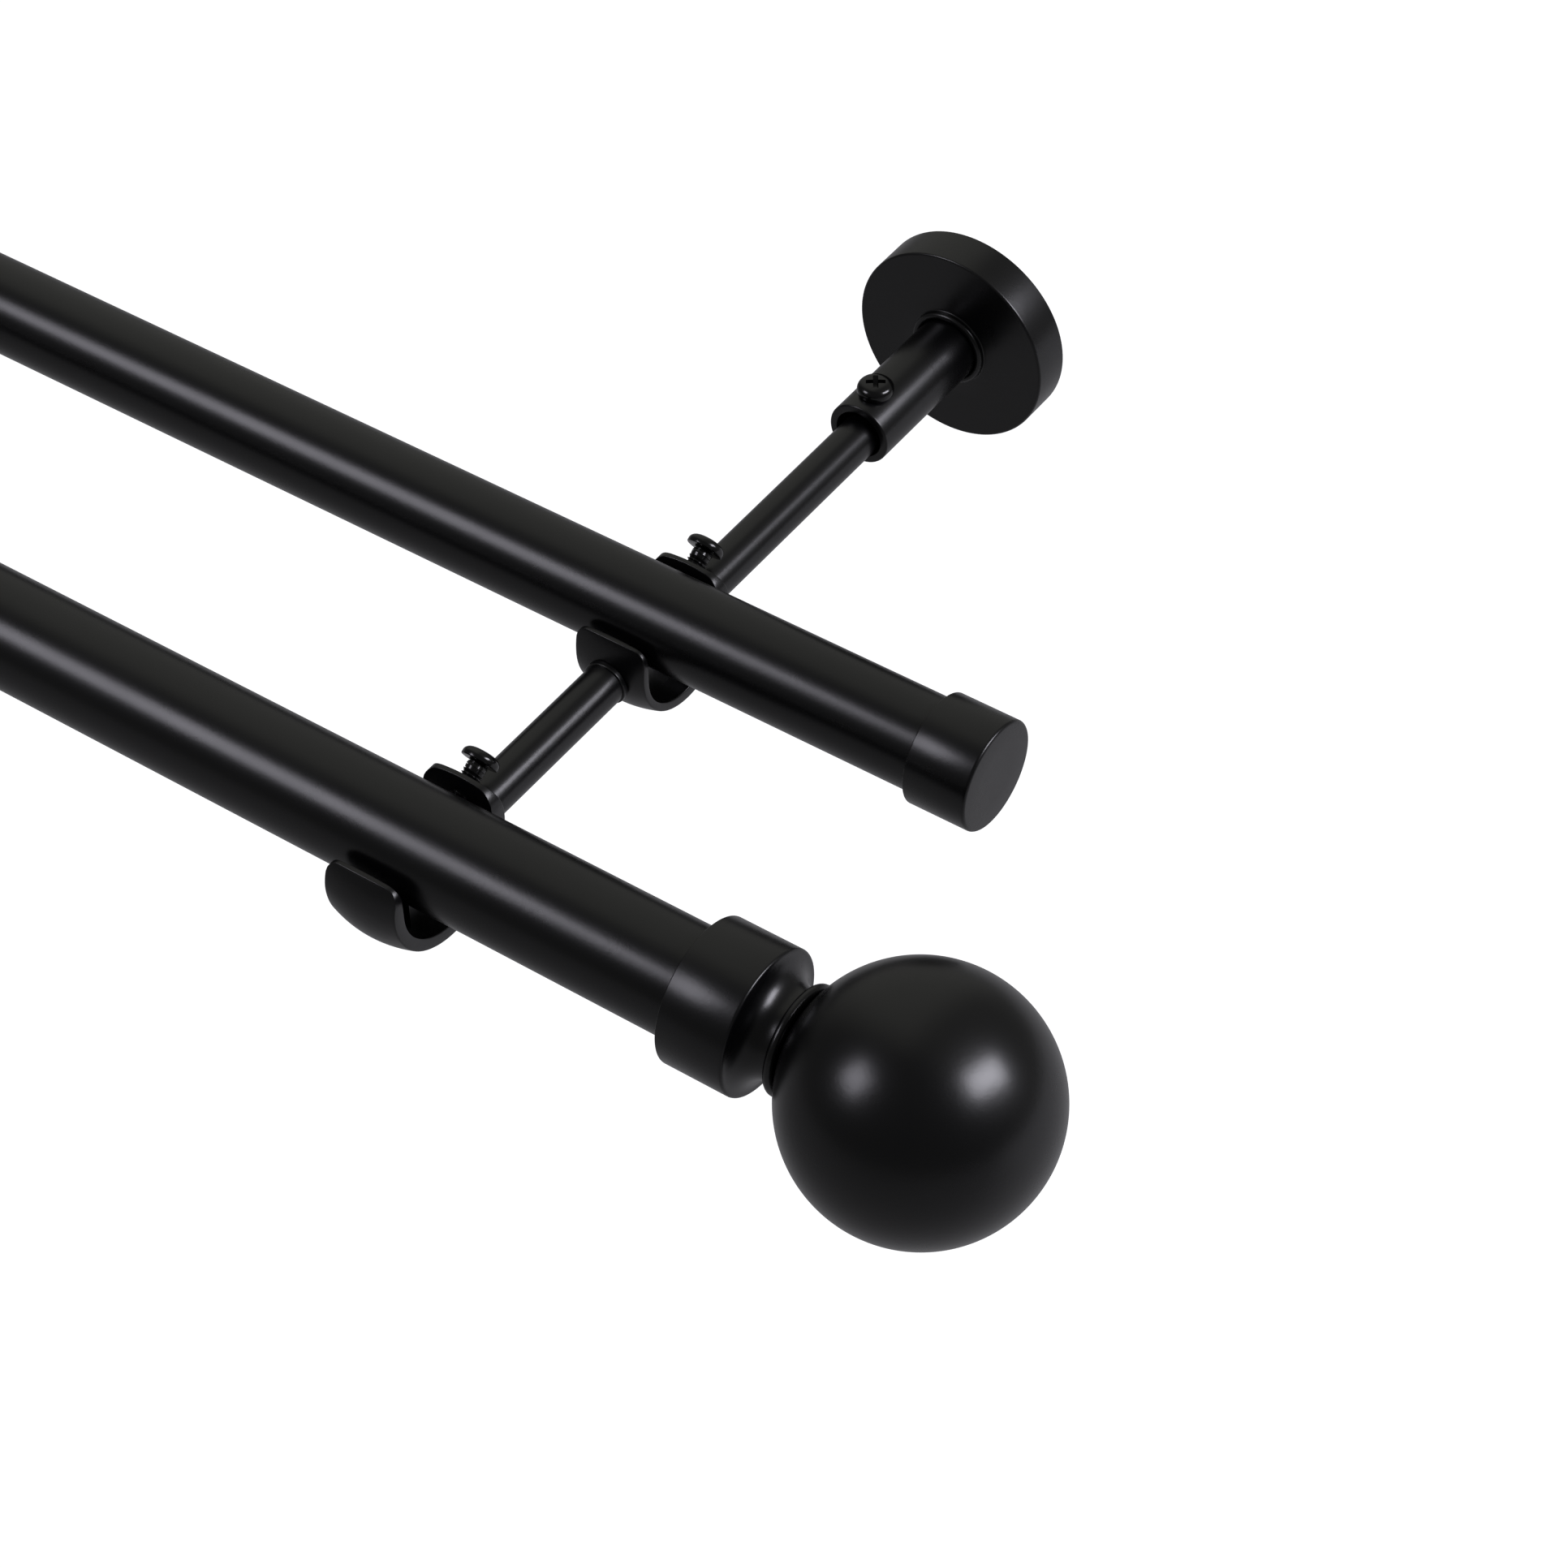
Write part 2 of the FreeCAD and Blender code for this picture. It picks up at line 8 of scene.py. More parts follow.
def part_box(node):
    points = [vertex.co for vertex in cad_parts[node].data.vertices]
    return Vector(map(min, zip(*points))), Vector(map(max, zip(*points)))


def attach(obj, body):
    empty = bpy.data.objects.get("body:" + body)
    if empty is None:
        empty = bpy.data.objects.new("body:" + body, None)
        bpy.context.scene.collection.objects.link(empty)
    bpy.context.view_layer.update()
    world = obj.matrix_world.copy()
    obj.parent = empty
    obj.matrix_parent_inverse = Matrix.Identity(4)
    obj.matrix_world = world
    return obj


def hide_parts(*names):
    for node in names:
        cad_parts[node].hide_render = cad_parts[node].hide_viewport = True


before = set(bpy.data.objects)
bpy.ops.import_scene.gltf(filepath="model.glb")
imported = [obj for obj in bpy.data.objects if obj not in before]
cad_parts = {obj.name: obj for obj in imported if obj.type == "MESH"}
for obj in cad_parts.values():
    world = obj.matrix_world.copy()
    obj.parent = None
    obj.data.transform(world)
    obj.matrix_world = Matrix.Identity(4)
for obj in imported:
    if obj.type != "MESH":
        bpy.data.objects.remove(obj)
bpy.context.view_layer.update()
print("frame loaded")

# X runs along the poles and Y towards the wall, which is at y = 0
mm = 0.001  # sizes are in millimetres, and meshes in metres
sides = ("right", "left")


def box(node):
    low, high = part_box(node)
    return np.array(low) / mm, np.array(high) / mm


def middle(node):
    low, high = box(node)
    return (low + high) / 2


def radiusOf(node):
    # Radius of a piece that is turned about a level axis
    low, high = box(node)
    return (high[2] - low[2]) / 2


# Meshes

smoothAngle = 30.0  # degrees, above which an edge is shaded sharp
turnedFaces = 128  # faces round a turned piece
axisGap = 1e-6  # a profile's point nearer its axis than this lies on it

# Points along each kind of arc in a profile
arcDetail = {"mouth": 4, "boreRim": 5, "fillet": 6, "rim": 7, "edge": 9, "roll": 17, "ball": 97}


def linked(name, data):
    obj = bpy.data.objects.new(name, data)
    bpy.context.scene.collection.objects.link(obj)
    return obj


def discard(obj):
    mesh = obj.data
    bpy.data.objects.remove(obj)
    bpy.data.meshes.remove(mesh)


def newObject(name, vertices, faces):
    mesh = bpy.data.meshes.new(name)
    mesh.from_pydata([tuple(v) for v in vertices], [], faces)
    mesh.validate()
    obj = linked(name, mesh)
    finishNormals(obj)
    return obj


def finishNormals(obj, sharpAngle=smoothAngle):
    mesh = obj.data
    work = bmesh.new()
    work.from_mesh(mesh)
    bmesh.ops.recalc_face_normals(work, faces=work.faces)
    work.to_mesh(mesh)
    work.free()
    mesh.shade_smooth()
    mesh.set_sharp_from_angle(angle=math.radians(sharpAngle))


def arcPoints(centre, radius, start, end, count):
    # From one angle to another, in degrees
    angles = np.radians(np.linspace(start, end, count))
    return [(centre[0] + radius * math.cos(a), centre[1] + radius * math.sin(a)) for a in angles]


def lathe(name, profile, origin, axis, segments=turnedFaces, closed=False):
    # A profile's points are (along the axis, radius), and a closed profile makes a ring or tube
    along = Vector(axis).normalized()
    side = along.orthogonal().normalized()
    other = along.cross(side)
    vertices = []
    rings = []
    for distance, radius in profile:
        if radius < axisGap:
            rings.append([len(vertices)])
            vertices.append((Vector(origin) + along * distance) * mm)
            continue
        ring = []
        for k in range(segments):
            turn = 2 * math.pi * k / segments
            ring.append(len(vertices))
            out = side * math.cos(turn) + other * math.sin(turn)
            vertices.append((Vector(origin) + along * distance + out * radius) * mm)
        rings.append(ring)
    pairs = list(zip(rings, rings[1:]))
    if closed:
        pairs.append((rings[-1], rings[0]))
    faces = []
    for first, second in pairs:
        for k in range(segments):
            n = (k + 1) % segments
            corners = [first[k % len(first)], first[n % len(first)],
                       second[n % len(second)], second[k % len(second)]]
            unique = list(dict.fromkeys(corners))
            if len(unique) >= 3:
                faces.append(unique)
    return newObject(name, vertices, faces)


def applyModifiers(obj):
    graph = bpy.context.evaluated_depsgraph_get()
    mesh = bpy.data.meshes.new_from_object(obj.evaluated_get(graph))
    old = obj.data
    obj.modifiers.clear()
    obj.data = mesh
    bpy.data.meshes.remove(old)


def joined(name, objects):
    work = bmesh.new()
    for obj in objects:
        work.from_mesh(obj.data)
    mesh = bpy.data.meshes.new(name)
    work.to_mesh(mesh)
    work.free()
    for obj in objects:
        discard(obj)
    return linked(name, mesh)


# Materials

# Roughness drifts by spread either way, and grain and grainHeight are in mm.
# Powder coat is sprayed dry and baked: a satin skin with a faint orange peel, so its highlights are soft.
# On the zinc castings the peel is coarser. Black oxide is thin and oiled, so the screws have tighter
# highlights, and their grain is drawn coarser than the real one, because that is too fine to show.
coats = {
    "powder_coat_satin_black": {"colour": "050506", "roughness": 0.28, "spread": 0.03,
                                "grain": 1.4, "grainHeight": 0.012},
    "powder_coat_on_zinc_casting": {"colour": "050506", "roughness": 0.3, "spread": 0.04,
                                    "grain": 2.2, "grainHeight": 0.03},
    "black_oxide_screw": {"colour": "070707", "roughness": 0.18, "spread": 0.04,
                          "grain": 0.9, "grainHeight": 0.008},
}
# What the three share: IOR, slow clouds of gloss and tint, 22 mm in scale, and how broken up the grain is
coatPattern = {"ior": 1.5, "cloud": 22.0, "cloudDetail": 4.0, "cloudRoughness": 0.6, "cloudTint": 1.25,
               "grainDetail": 3.0, "grainRoughness": 0.55}
zincPlating = {"cool": "b9bcc0", "warm": "c4bfae", "smooth": 0.28, "dull": 0.45, "cloud": 9.0,
               "cloudDetail": 5.0}


def srgb(hexText):
    # Linear colour from sRGB hex, by the standard's own curve
    channels = [int(hexText[i:i + 2], 16) / 255 for i in (0, 2, 4)]
    linear = [c / 12.92 if c <= 0.04045 else ((c + 0.055) / 1.055) ** 2.4 for c in channels]
    return (*linear, 1.0)


def noiseScale(size):
    # For a pattern's size in mm, on Object coordinates in metres
    return 1.0 / (size * mm)


def addNode(tree, kind, settings=None, links=None):
    # Settings are attribute names or input names and numbers, and links are {input: socket}
    node = tree.nodes.new(kind)
    for key, value in (settings or {}).items():
        if isinstance(key, str) and hasattr(node, key):
            setattr(node, key, value)
        else:
            node.inputs[key].default_value = value
    for key, socket in (links or {}).items():
        tree.links.new(socket, node.inputs[key])
    return node


def newMaterial(name):
    material = bpy.data.materials.new(name)
    material.use_nodes = True
    return material, material.node_tree, material.node_tree.nodes["Principled BSDF"]


def coatMaterial(name):
    coat = coats[name]
    material, tree, shader = newMaterial(name)
    shader.inputs["Metallic"].default_value = 0.0
    shader.inputs["IOR"].default_value = coatPattern["ior"]
    coordinates = addNode(tree, "ShaderNodeTexCoord").outputs["Object"]
    grain = addNode(tree, "ShaderNodeTexNoise",
                    {"Scale": noiseScale(coat["grain"]), "Detail": coatPattern["grainDetail"],
                     "Roughness": coatPattern["grainRoughness"]}, {"Vector": coordinates})
    cloud = addNode(tree, "ShaderNodeTexNoise",
                    {"Scale": noiseScale(coatPattern["cloud"]), "Detail": coatPattern["cloudDetail"],
                     "Roughness": coatPattern["cloudRoughness"]}, {"Vector": coordinates})
    rough = coat["roughness"]
    spread = coat["spread"]
    gloss = addNode(tree, "ShaderNodeMapRange", {"To Min": rough - spread, "To Max": rough + spread},
                    {"Value": cloud.outputs["Fac"]})
    tree.links.new(gloss.outputs["Result"], shader.inputs["Roughness"])
    dark = srgb(coat["colour"])
    pale = tuple(coatPattern["cloudTint"] * c for c in dark[:3]) + (1.0,)
    tint = addNode(tree, "ShaderNodeMixRGB", {"Color1": dark, "Color2": pale},
                   {"Fac": cloud.outputs["Fac"]})
    tree.links.new(tint.outputs["Color"], shader.inputs["Base Color"])
    bump = addNode(tree, "ShaderNodeBump", {"Strength": 1.0, "Distance": coat["grainHeight"] * mm},
                   {"Height": grain.outputs["Fac"]})
    tree.links.new(bump.outputs["Normal"], shader.inputs["Normal"])
    return material


def zincMaterial(name):
    # Zinc plated steel: pale metal with cloudy blue to yellow passivation
    material, tree, shader = newMaterial(name)
    shader.inputs["Metallic"].default_value = 1.0
    coordinates = addNode(tree, "ShaderNodeTexCoord").outputs["Object"]
    cloud = addNode(tree, "ShaderNodeTexNoise",
                    {"Scale": noiseScale(zincPlating["cloud"]), "Detail": zincPlating["cloudDetail"]},
                    {"Vector": coordinates})
    tint = addNode(tree, "ShaderNodeMixRGB",
                   {"Color1": srgb(zincPlating["cool"]), "Color2": srgb(zincPlating["warm"])},
                   {"Fac": cloud.outputs["Fac"]})
    tree.links.new(tint.outputs["Color"], shader.inputs["Base Color"])
    gloss = addNode(tree, "ShaderNodeMapRange",
                    {"To Min": zincPlating["smooth"], "To Max": zincPlating["dull"]},
                    {"Value": cloud.outputs["Fac"]})
    tree.links.new(gloss.outputs["Result"], shader.inputs["Roughness"])
    return material


powderCoat = coatMaterial("powder_coat_satin_black")
castCoat = coatMaterial("powder_coat_on_zinc_casting")
screwBlack = coatMaterial("black_oxide_screw")
zincPlate = zincMaterial("zinc_plated_steel")
print("materials made")


def finishPiece(obj, material, body, *nodes):
    obj.data.materials.append(material)
    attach(obj, body)
    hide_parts(*nodes)


# Poles and the turned pieces on their ends

poleSizes = {"wall": 1.0, "rings": 25}


def poleTube(node):
    low, high = box(node)
    centre = middle(node)
    radius = radiusOf(node)
    bore = radius - poleSizes["wall"]
    length = high[0] - low[0]
    rings = list(np.linspace(0, length, poleSizes["rings"]))
    profile = [(x, radius) for x in rings] + [(length, bore)]
    profile += [(x, bore) for x in reversed(rings[:-1])]
    tube = lathe(node + "_tube", profile, (low[0], centre[1], centre[2]), (1, 0, 0), closed=True)
    finishPiece(tube, powderCoat, "poles", node)


def poleEnd(node, side):
    # X of the inner and outer faces of a piece on a pole's end, and which way it points
    low, high = box(node)
    if side == "right":
        return low[0], high[0], 1
    return high[0], low[0], -1


def sleeve(radius, bore, depth, mouth):
    # The blind bore that takes the pole, and the rounded rim of its mouth
    profile = [(depth, 0), (depth, bore), (0, bore), (0, radius - mouth)]
    return profile + arcPoints((mouth, radius - mouth), mouth, 180, 90, arcDetail["mouth"])[1:]


capSizes = {"clearance": 0.05, "mouth": 0.25, "edge": 0.8, "endWall": 3.0, "faceShare": 0.5}


def rearCap(side):
    node = "rear_cap_" + side
    centre = middle(node)
    near, far, out = poleEnd(node, side)
    length = abs(far - near)
    radius = radiusOf(node)
    bore = radiusOf("rear_pole") + capSizes["clearance"]
    edge = capSizes["edge"]
    profile = sleeve(radius, bore, length - capSizes["endWall"], capSizes["mouth"])
    profile += arcPoints((length - edge, radius - edge), edge, 90, 0, arcDetail["edge"])
    profile += [(length, radius * capSizes["faceShare"]), (length, 0)]
    cap = lathe(node + "_turned", profile, (near, centre[1], centre[2]), (out, 0, 0))
    finishPiece(cap, powderCoat, "poles", node)


finialSizes = {"clearance": 0.05, "mouth": 0.25, "edge": 0.7, "skirt": 13.6, "web": 2.0, "neckRadius": 10.4,
               "beadLength": 2.4, "beadRadius": 12.5, "faceRing": 4.0}


def finialBase(side):
    # A collar over the pole, a cove down to the neck, and a bead under the ball
    node = "finial_base_" + side
    centre = middle(node)
    near, far, out = poleEnd(node, side)
    length = abs(far - near)
    radius = radiusOf(node)
    bore = radiusOf("front_pole") + finialSizes["clearance"]
    edge = finialSizes["edge"]
    skirt = finialSizes["skirt"]
    neck = finialSizes["neckRadius"]
    cove = radius - neck - edge
    edgeX = skirt + finialSizes["web"]
    coveX = edgeX + edge + cove
    beadX = length - finialSizes["beadLength"]
    bead = finialSizes["beadLength"] / 2
    profile = sleeve(radius, bore, skirt, finialSizes["mouth"])
    profile += arcPoints((edgeX, radius - edge), edge, 90, 0, arcDetail["rim"])
    profile += arcPoints((coveX, radius - edge), cove, 180, 270, arcDetail["roll"])[1:]
    profile += [(beadX, neck)]
    profile += arcPoints((beadX + bead, finialSizes["beadRadius"] - bead), bead, 180, 0, arcDetail["roll"])
    profile += [(length, finialSizes["faceRing"]), (length, 0)]
    base = lathe(node + "_turned", profile, (near, centre[1], centre[2]), (out, 0, 0))
    finishPiece(base, powderCoat, "poles", node)


ballSizes = {"seatInset": 0.3, "faces": 160}


def finialBall(side):
    # A sphere cut flat where it sits on the base
    node = "finial_ball_" + side
    centre = middle(node)
    near, far, out = poleEnd(node, side)
    radius = radiusOf(node)
    centreX = far - out * radius
    seat = abs(centreX - near)
    seatAngle = math.degrees(math.acos(seat / radius))
    seatRadius = radius * math.sin(math.radians(seatAngle)) - ballSizes["seatInset"]
    profile = [(-seat, 0), (-seat, seatRadius)]
    profile += arcPoints((0, 0), radius, 180 - seatAngle, 0, arcDetail["ball"])
    place = (centreX, centre[1], centre[2])
    ball = lathe(node + "_turned", profile, place, (out, 0, 0), segments=ballSizes["faces"])
    finishPiece(ball, powderCoat, "poles", node)


# Wall end of a bracket

coverSizes = {"depth": 10.2, "wall": 1.2, "edge": 0.6, "neckGap": 0.05, "lipRadius": 0.87, "lipProud": 0.78,
              "fillet": 0.35, "faceShare": 0.3, "faces": 160}


def coverRosette(side):
    # A pressed shell against the wall, with a rolled lip round the socket
    node = "cover_rosette_" + side
    centre = middle(node)
    radius = radiusOf(node)
    socketLow, socketHigh = box("wall_socket_" + side)
    depth = coverSizes["depth"]
    wall = coverSizes["wall"]
    edge = coverSizes["edge"]
    lip = coverSizes["lipRadius"]
    fillet = coverSizes["fillet"]
    lipTop = depth + coverSizes["lipProud"]
    lipIn = (socketHigh[0] - socketLow[0]) / 2 + coverSizes["neckGap"]
    lipOut = lipIn + 2 * lip
    faceRing = lipOut + coverSizes["faceShare"] * (radius - lipOut)
    profile = [(depth - wall, lipIn)]
    profile += arcPoints((lipTop, lipIn + lip), lip, -90, 90, arcDetail["roll"])
    profile += arcPoints((depth + fillet, lipOut + fillet), fillet, -90, -180, arcDetail["fillet"])
    profile += [(depth, faceRing), (depth, radius - edge)]
    profile += arcPoints((depth - edge, radius - edge), edge, 0, 90, arcDetail["edge"])
    profile += [(0, radius), (0, radius - wall), (depth - wall, radius - wall)]
    place = (centre[0], 0, centre[2])
    cover = lathe(node + "_pressed", profile, place, (0, -1, 0), segments=coverSizes["faces"], closed=True)
    finishPiece(cover, powderCoat, "wall_brackets", node)


socketSizes = {"boreRadius": 6.0, "boreDepth": 38.7, "edge": 0.5, "boreEdge": 0.3}


def wallSocket(side):
    # A round bar from the wall, with a blind bore that takes the arm
    node = "wall_socket_" + side
    low, high = box(node)
    centre = middle(node)
    radius = radiusOf(node)
    length = high[1] - low[1]
    bore = socketSizes["boreRadius"]
    floor = length - socketSizes["boreDepth"]
    edge = socketSizes["edge"]
    boreEdge = socketSizes["boreEdge"]
    profile = [(0, 0), (0, radius), (length - edge, radius)]
    profile += arcPoints((length - edge, radius - edge), edge, 90, 0, arcDetail["rim"])[1:]
    profile += arcPoints((length - boreEdge, bore + boreEdge), boreEdge, 0, -90, arcDetail["boreRim"])
    profile += [(floor, bore), (floor, 0)]
    socket = lathe(node + "_turned", profile, (centre[0], high[1], centre[2]), (0, -1, 0))
    finishPiece(socket, powderCoat, "wall_brackets", node)


# Arms

rodSizes = {"radius": 5.0, "bevel": 0.8, "flangeRadius": 5.4, "flangeLength": 1.2, "flangeRound": 0.3,
            "faces": 96}


def armRod(node, flanged):
    low, high = box(node)
    centre = middle(node)
    length = high[1] - low[1]
    profile = flangedProfile(high[1], length) if flanged else bevelledProfile(length)
    place = (centre[0], high[1], centre[2])
    rod = lathe(node + "_rod", profile, place, (0, -1, 0), segments=rodSizes["faces"])
    finishPiece(rod, powderCoat, "poles", node)


def bevelledProfile(length):
    # The rear arm, bevelled where it goes into the socket
    radius = rodSizes["radius"]
    bevel = rodSizes["bevel"]
    return [(0, 0), (0, radius - bevel), (bevel, radius), (length, radius), (length, 0)]


def flangedProfile(rootY, length):
    # The front arm, with a low flange against the front of the rear cup
    radius = rodSizes["radius"]
    flange = rodSizes["flangeRadius"]
    rounding = rodSizes["flangeRound"]
    start = rootY - (middle("rear_pole")[1] + rearCupFront())
    end = start + rodSizes["flangeLength"]
    profile = [(0, 0), (0, radius), (start, radius), (start, flange)]
    profile += arcPoints((end - rounding, flange - rounding), rounding, 90, 0, arcDetail["edge"])
    profile += [(end, radius), (length, radius), (length, 0)]
    return profile


def rearCupFront():
    # Y of the rear cup's front face at the arm's height, from the rear pole's axis
    form = cupForms["rear"]
    rise = middle("rear_pole")[2] - middle("rear_arm_right")[2]
    outer = form["inner"] + form["bottom"]
    return form["shift"] - math.sqrt(outer ** 2 - (form["drop"] - rise) ** 2)


# Cast cups

# Sizes that the two cups share. A crown is how far the outside falls back at a side edge, from topCrown to
# lowCrown over crownFall of height. The rim is rounded by topEdge at the top and edgeRadius low down.
# edgeColumns are the mesh's lines near a side edge, measured from it.
cupSizes = {
    "width": 18.6, "topThickness": 1.15, "screwWall": 1.8, "topCrown": 0.6, "lowCrown": 1.5,
    "crownFall": 16.0, "edgeRadius": 0.33, "topEdge": 0.14, "edgeSteps": 4, "sharpAngle": 60.0,
    "lipArch": 0.5, "lipCorner": 3.0, "tongueArch": 1.3, "tongueCorner": 4.2,
    "edgeColumns": (0.0, 0.34, 0.7, 1.1, 1.55, 2.05, 2.6, 3.2, 3.9), "middleColumns": 9, "rows": 121,
    "roundPoints": 180, "wallPoints": 60, "spareWall": 2.0, "spareShare": 1.2,
}
# Each cup's own, from its pole's axis: inner is the hollow's radius, drop how far its centre lies below,
# bottom the thickness under it, and shift how far the outside lies towards the wall. lip and tongue are the
# heights of the front and the wall-side top, the leans how far these bend away from the pole, and screwZ
# is the height of the screw's hole.
cupForms = {
    "front": {"inner": 14.9, "drop": 5.0, "bottom": 4.9, "shift": 0.7, "lip": 3.4, "tongue": 5.1,
              "lipLean": 0.3, "tongueLean": 1.5, "screwZ": -0.3},
    "rear": {"inner": 12.9, "drop": 6.6, "bottom": 4.4, "shift": 1.4, "lip": 2.4, "tongue": 3.2,
             "lipLean": 0.0, "tongueLean": 1.7, "screwZ": -1.4},
}


def wallLine(form, side, rows):
    # Inside and outside of a cup's wall above its round part: thick below, thin at the top
    top = form["lip"] if side < 0 else form["tongue"]
    lean = form["lipLean"] if side < 0 else form["tongueLean"]
    rise = np.linspace(-form["drop"], top + cupSizes["spareWall"], rows)
    share = np.clip((rise + form["drop"]) / (top + form["drop"]), 0, cupSizes["spareShare"]) ** 2
    root = form["bottom"] + side * form["shift"]
    inside = form["inner"] + lean * share
    outside = form["inner"] + root + (lean + cupSizes["topThickness"] - root) * share
    return np.stack([side * inside, rise], 1), np.stack([side * outside, rise], 1)


def cupPaths(form):
    # Outer and inner lines (y, z), from above the lip's top round the bottom to above the tongue's top
    angles = np.radians(np.linspace(180, 360, cupSizes["roundPoints"]))
    circle = np.stack([np.cos(angles), np.sin(angles)], 1)
    innerRound = np.array([0, -form["drop"]]) + form["inner"] * circle
    outerRound = np.array([form["shift"], -form["drop"]]) + (form["inner"] + form["bottom"]) * circle
    lipInner, lipOuter = wallLine(form, -1, cupSizes["wallPoints"])
    tongueInner, tongueOuter = wallLine(form, 1, cupSizes["wallPoints"])
    outer = np.concatenate([lipOuter[:0:-1], outerRound, tongueOuter[1:]])
    inner = np.concatenate([lipInner[:0:-1], innerRound, tongueInner[1:]])
    return outer, inner


def topHeight(x, top, arch, corner):
    # Height of a lip's or tongue's top across the width: an arch with rounded corners
    half = cupSizes["width"] / 2
    bow = (half ** 2 + arch ** 2) / (2 * arch)
    height = top - (bow - math.sqrt(bow ** 2 - x ** 2))
    inward = half - abs(x)
    if inward >= corner:
        return height
    return height - (corner - math.sqrt(max(corner ** 2 - (corner - inward) ** 2, 0.0)))


def resample(path, lowSide, highSide, rows):
    # Evenly spaced points along a line, between its crossings of two heights at its two ends
    steps = np.linalg.norm(np.diff(path, axis=0), axis=1)
    along = np.concatenate([[0], np.cumsum(steps)])
    lowest = int(np.argmin(path[:, 1]))
    start = np.interp(-lowSide, -path[:lowest + 1, 1], along[:lowest + 1])
    end = np.interp(highSide, path[lowest:, 1], along[lowest:])
    places = np.linspace(start, end, rows)
    return np.stack([np.interp(places, along, path[:, 0]), np.interp(places, along, path[:, 1])], 1)


def cupColumns():
    # Places across the width, closer together towards the side edges
    half = cupSizes["width"] / 2
    edgeColumns = cupSizes["edgeColumns"]
    middleColumns = np.linspace(edgeColumns[-1], half, cupSizes["middleColumns"])[1:]
    inset = np.concatenate([edgeColumns, middleColumns])
    return np.concatenate([inset - half, (half - inset)[-2::-1]])


def crownFallback(form, outer):
    # How far each point of the outer line falls back at a side edge
    slope = np.gradient(outer, axis=0)
    slope /= np.linalg.norm(slope, axis=1)[:, None]
    inward = np.stack([-slope[:, 1], slope[:, 0]], 1)
    down = np.clip((form["lip"] - outer[:, 1]) / cupSizes["crownFall"], 0, 1)
    crown = cupSizes["topCrown"] + (cupSizes["lowCrown"] - cupSizes["topCrown"]) * down
    return inward * crown[:, None]


def cupVertices(form, columns, place):
    outer, inner = cupPaths(form)
    fallback = crownFallback(form, outer)
    half = cupSizes["width"] / 2
    vertices = []
    for surface in ("outer", "inner"):
        for x in columns:
            lip = topHeight(x, form["lip"], cupSizes["lipArch"], cupSizes["lipCorner"])
            tongue = topHeight(x, form["tongue"], cupSizes["tongueArch"], cupSizes["tongueCorner"])
            path = outer + fallback * (x / half) ** 2 if surface == "outer" else inner
            for y, z in resample(path, lip, tongue, cupSizes["rows"]):
                vertices.append(((place[0] + x) * mm, (place[1] + y) * mm, (place[2] + z) * mm))
    return vertices


def cupFaces(grid):
    # Grid holds the vertices' numbers by surface, column and row
    outer, inner = grid
    columns = len(outer)
    rows = len(outer[0])
    faces = []
    for sheet in grid:
        for c in range(columns - 1):
            for r in range(rows - 1):
                faces.append([sheet[c][r], sheet[c + 1][r], sheet[c + 1][r + 1], sheet[c][r + 1]])
    for c in (0, columns - 1):
        for r in range(rows - 1):
            faces.append([outer[c][r], outer[c][r + 1], inner[c][r + 1], inner[c][r]])
    for r in (0, rows - 1):
        for c in range(columns - 1):
            faces.append([outer[c][r], outer[c + 1][r], inner[c + 1][r], inner[c][r]])
    return faces


def rimEdges(grid):
    # The edges that run round each of the two surfaces
    rim = set()
    for sheet in grid:
        loop = sheet[0] + [column[-1] for column in sheet[1:]]
        loop += sheet[-1][-2::-1] + [column[0] for column in sheet[-2:0:-1]]
        rim |= {frozenset(pair) for pair in zip(loop, loop[1:] + loop[:1])}
    return rim


def roundRim(cup, form, rim, poleZ):
    # Rounds the rim, less at the thin tops than low down
    weights = cup.data.attributes.new("bevel_weight_edge", "FLOAT", "EDGE")
    least = cupSizes["topEdge"] / cupSizes["edgeRadius"]
    for edge in cup.data.edges:
        if frozenset(edge.vertices) in rim:
            height = cup.data.vertices[edge.vertices[0]].co.z / mm - poleZ
            fall = min(max((form["lip"] - height) / cupSizes["crownFall"], 0), 1)
            weights.data[edge.index].value = least + (1 - least) * fall
    bevel = cup.modifiers.new("Rim", "BEVEL")
    bevel.width = cupSizes["edgeRadius"] * mm
    bevel.segments = cupSizes["edgeSteps"]
    bevel.limit_method = "WEIGHT"
    bevel.use_clamp_overlap = False
    applyModifiers(cup)


def cupShell(name, form, place):
    columns = cupColumns()
    shape = (2, len(columns), cupSizes["rows"])
    grid = np.arange(math.prod(shape)).reshape(shape).tolist()
    cup = newObject(name, cupVertices(form, columns, place), cupFaces(grid))
    roundRim(cup, form, rimEdges(grid), place[2])
    finishNormals(cup, cupSizes["sharpAngle"])
    return cup


saddleSizes = {"width": 8.0, "reach": 7.5, "poleGap": 0.1, "sunk": 0.6, "points": 33}


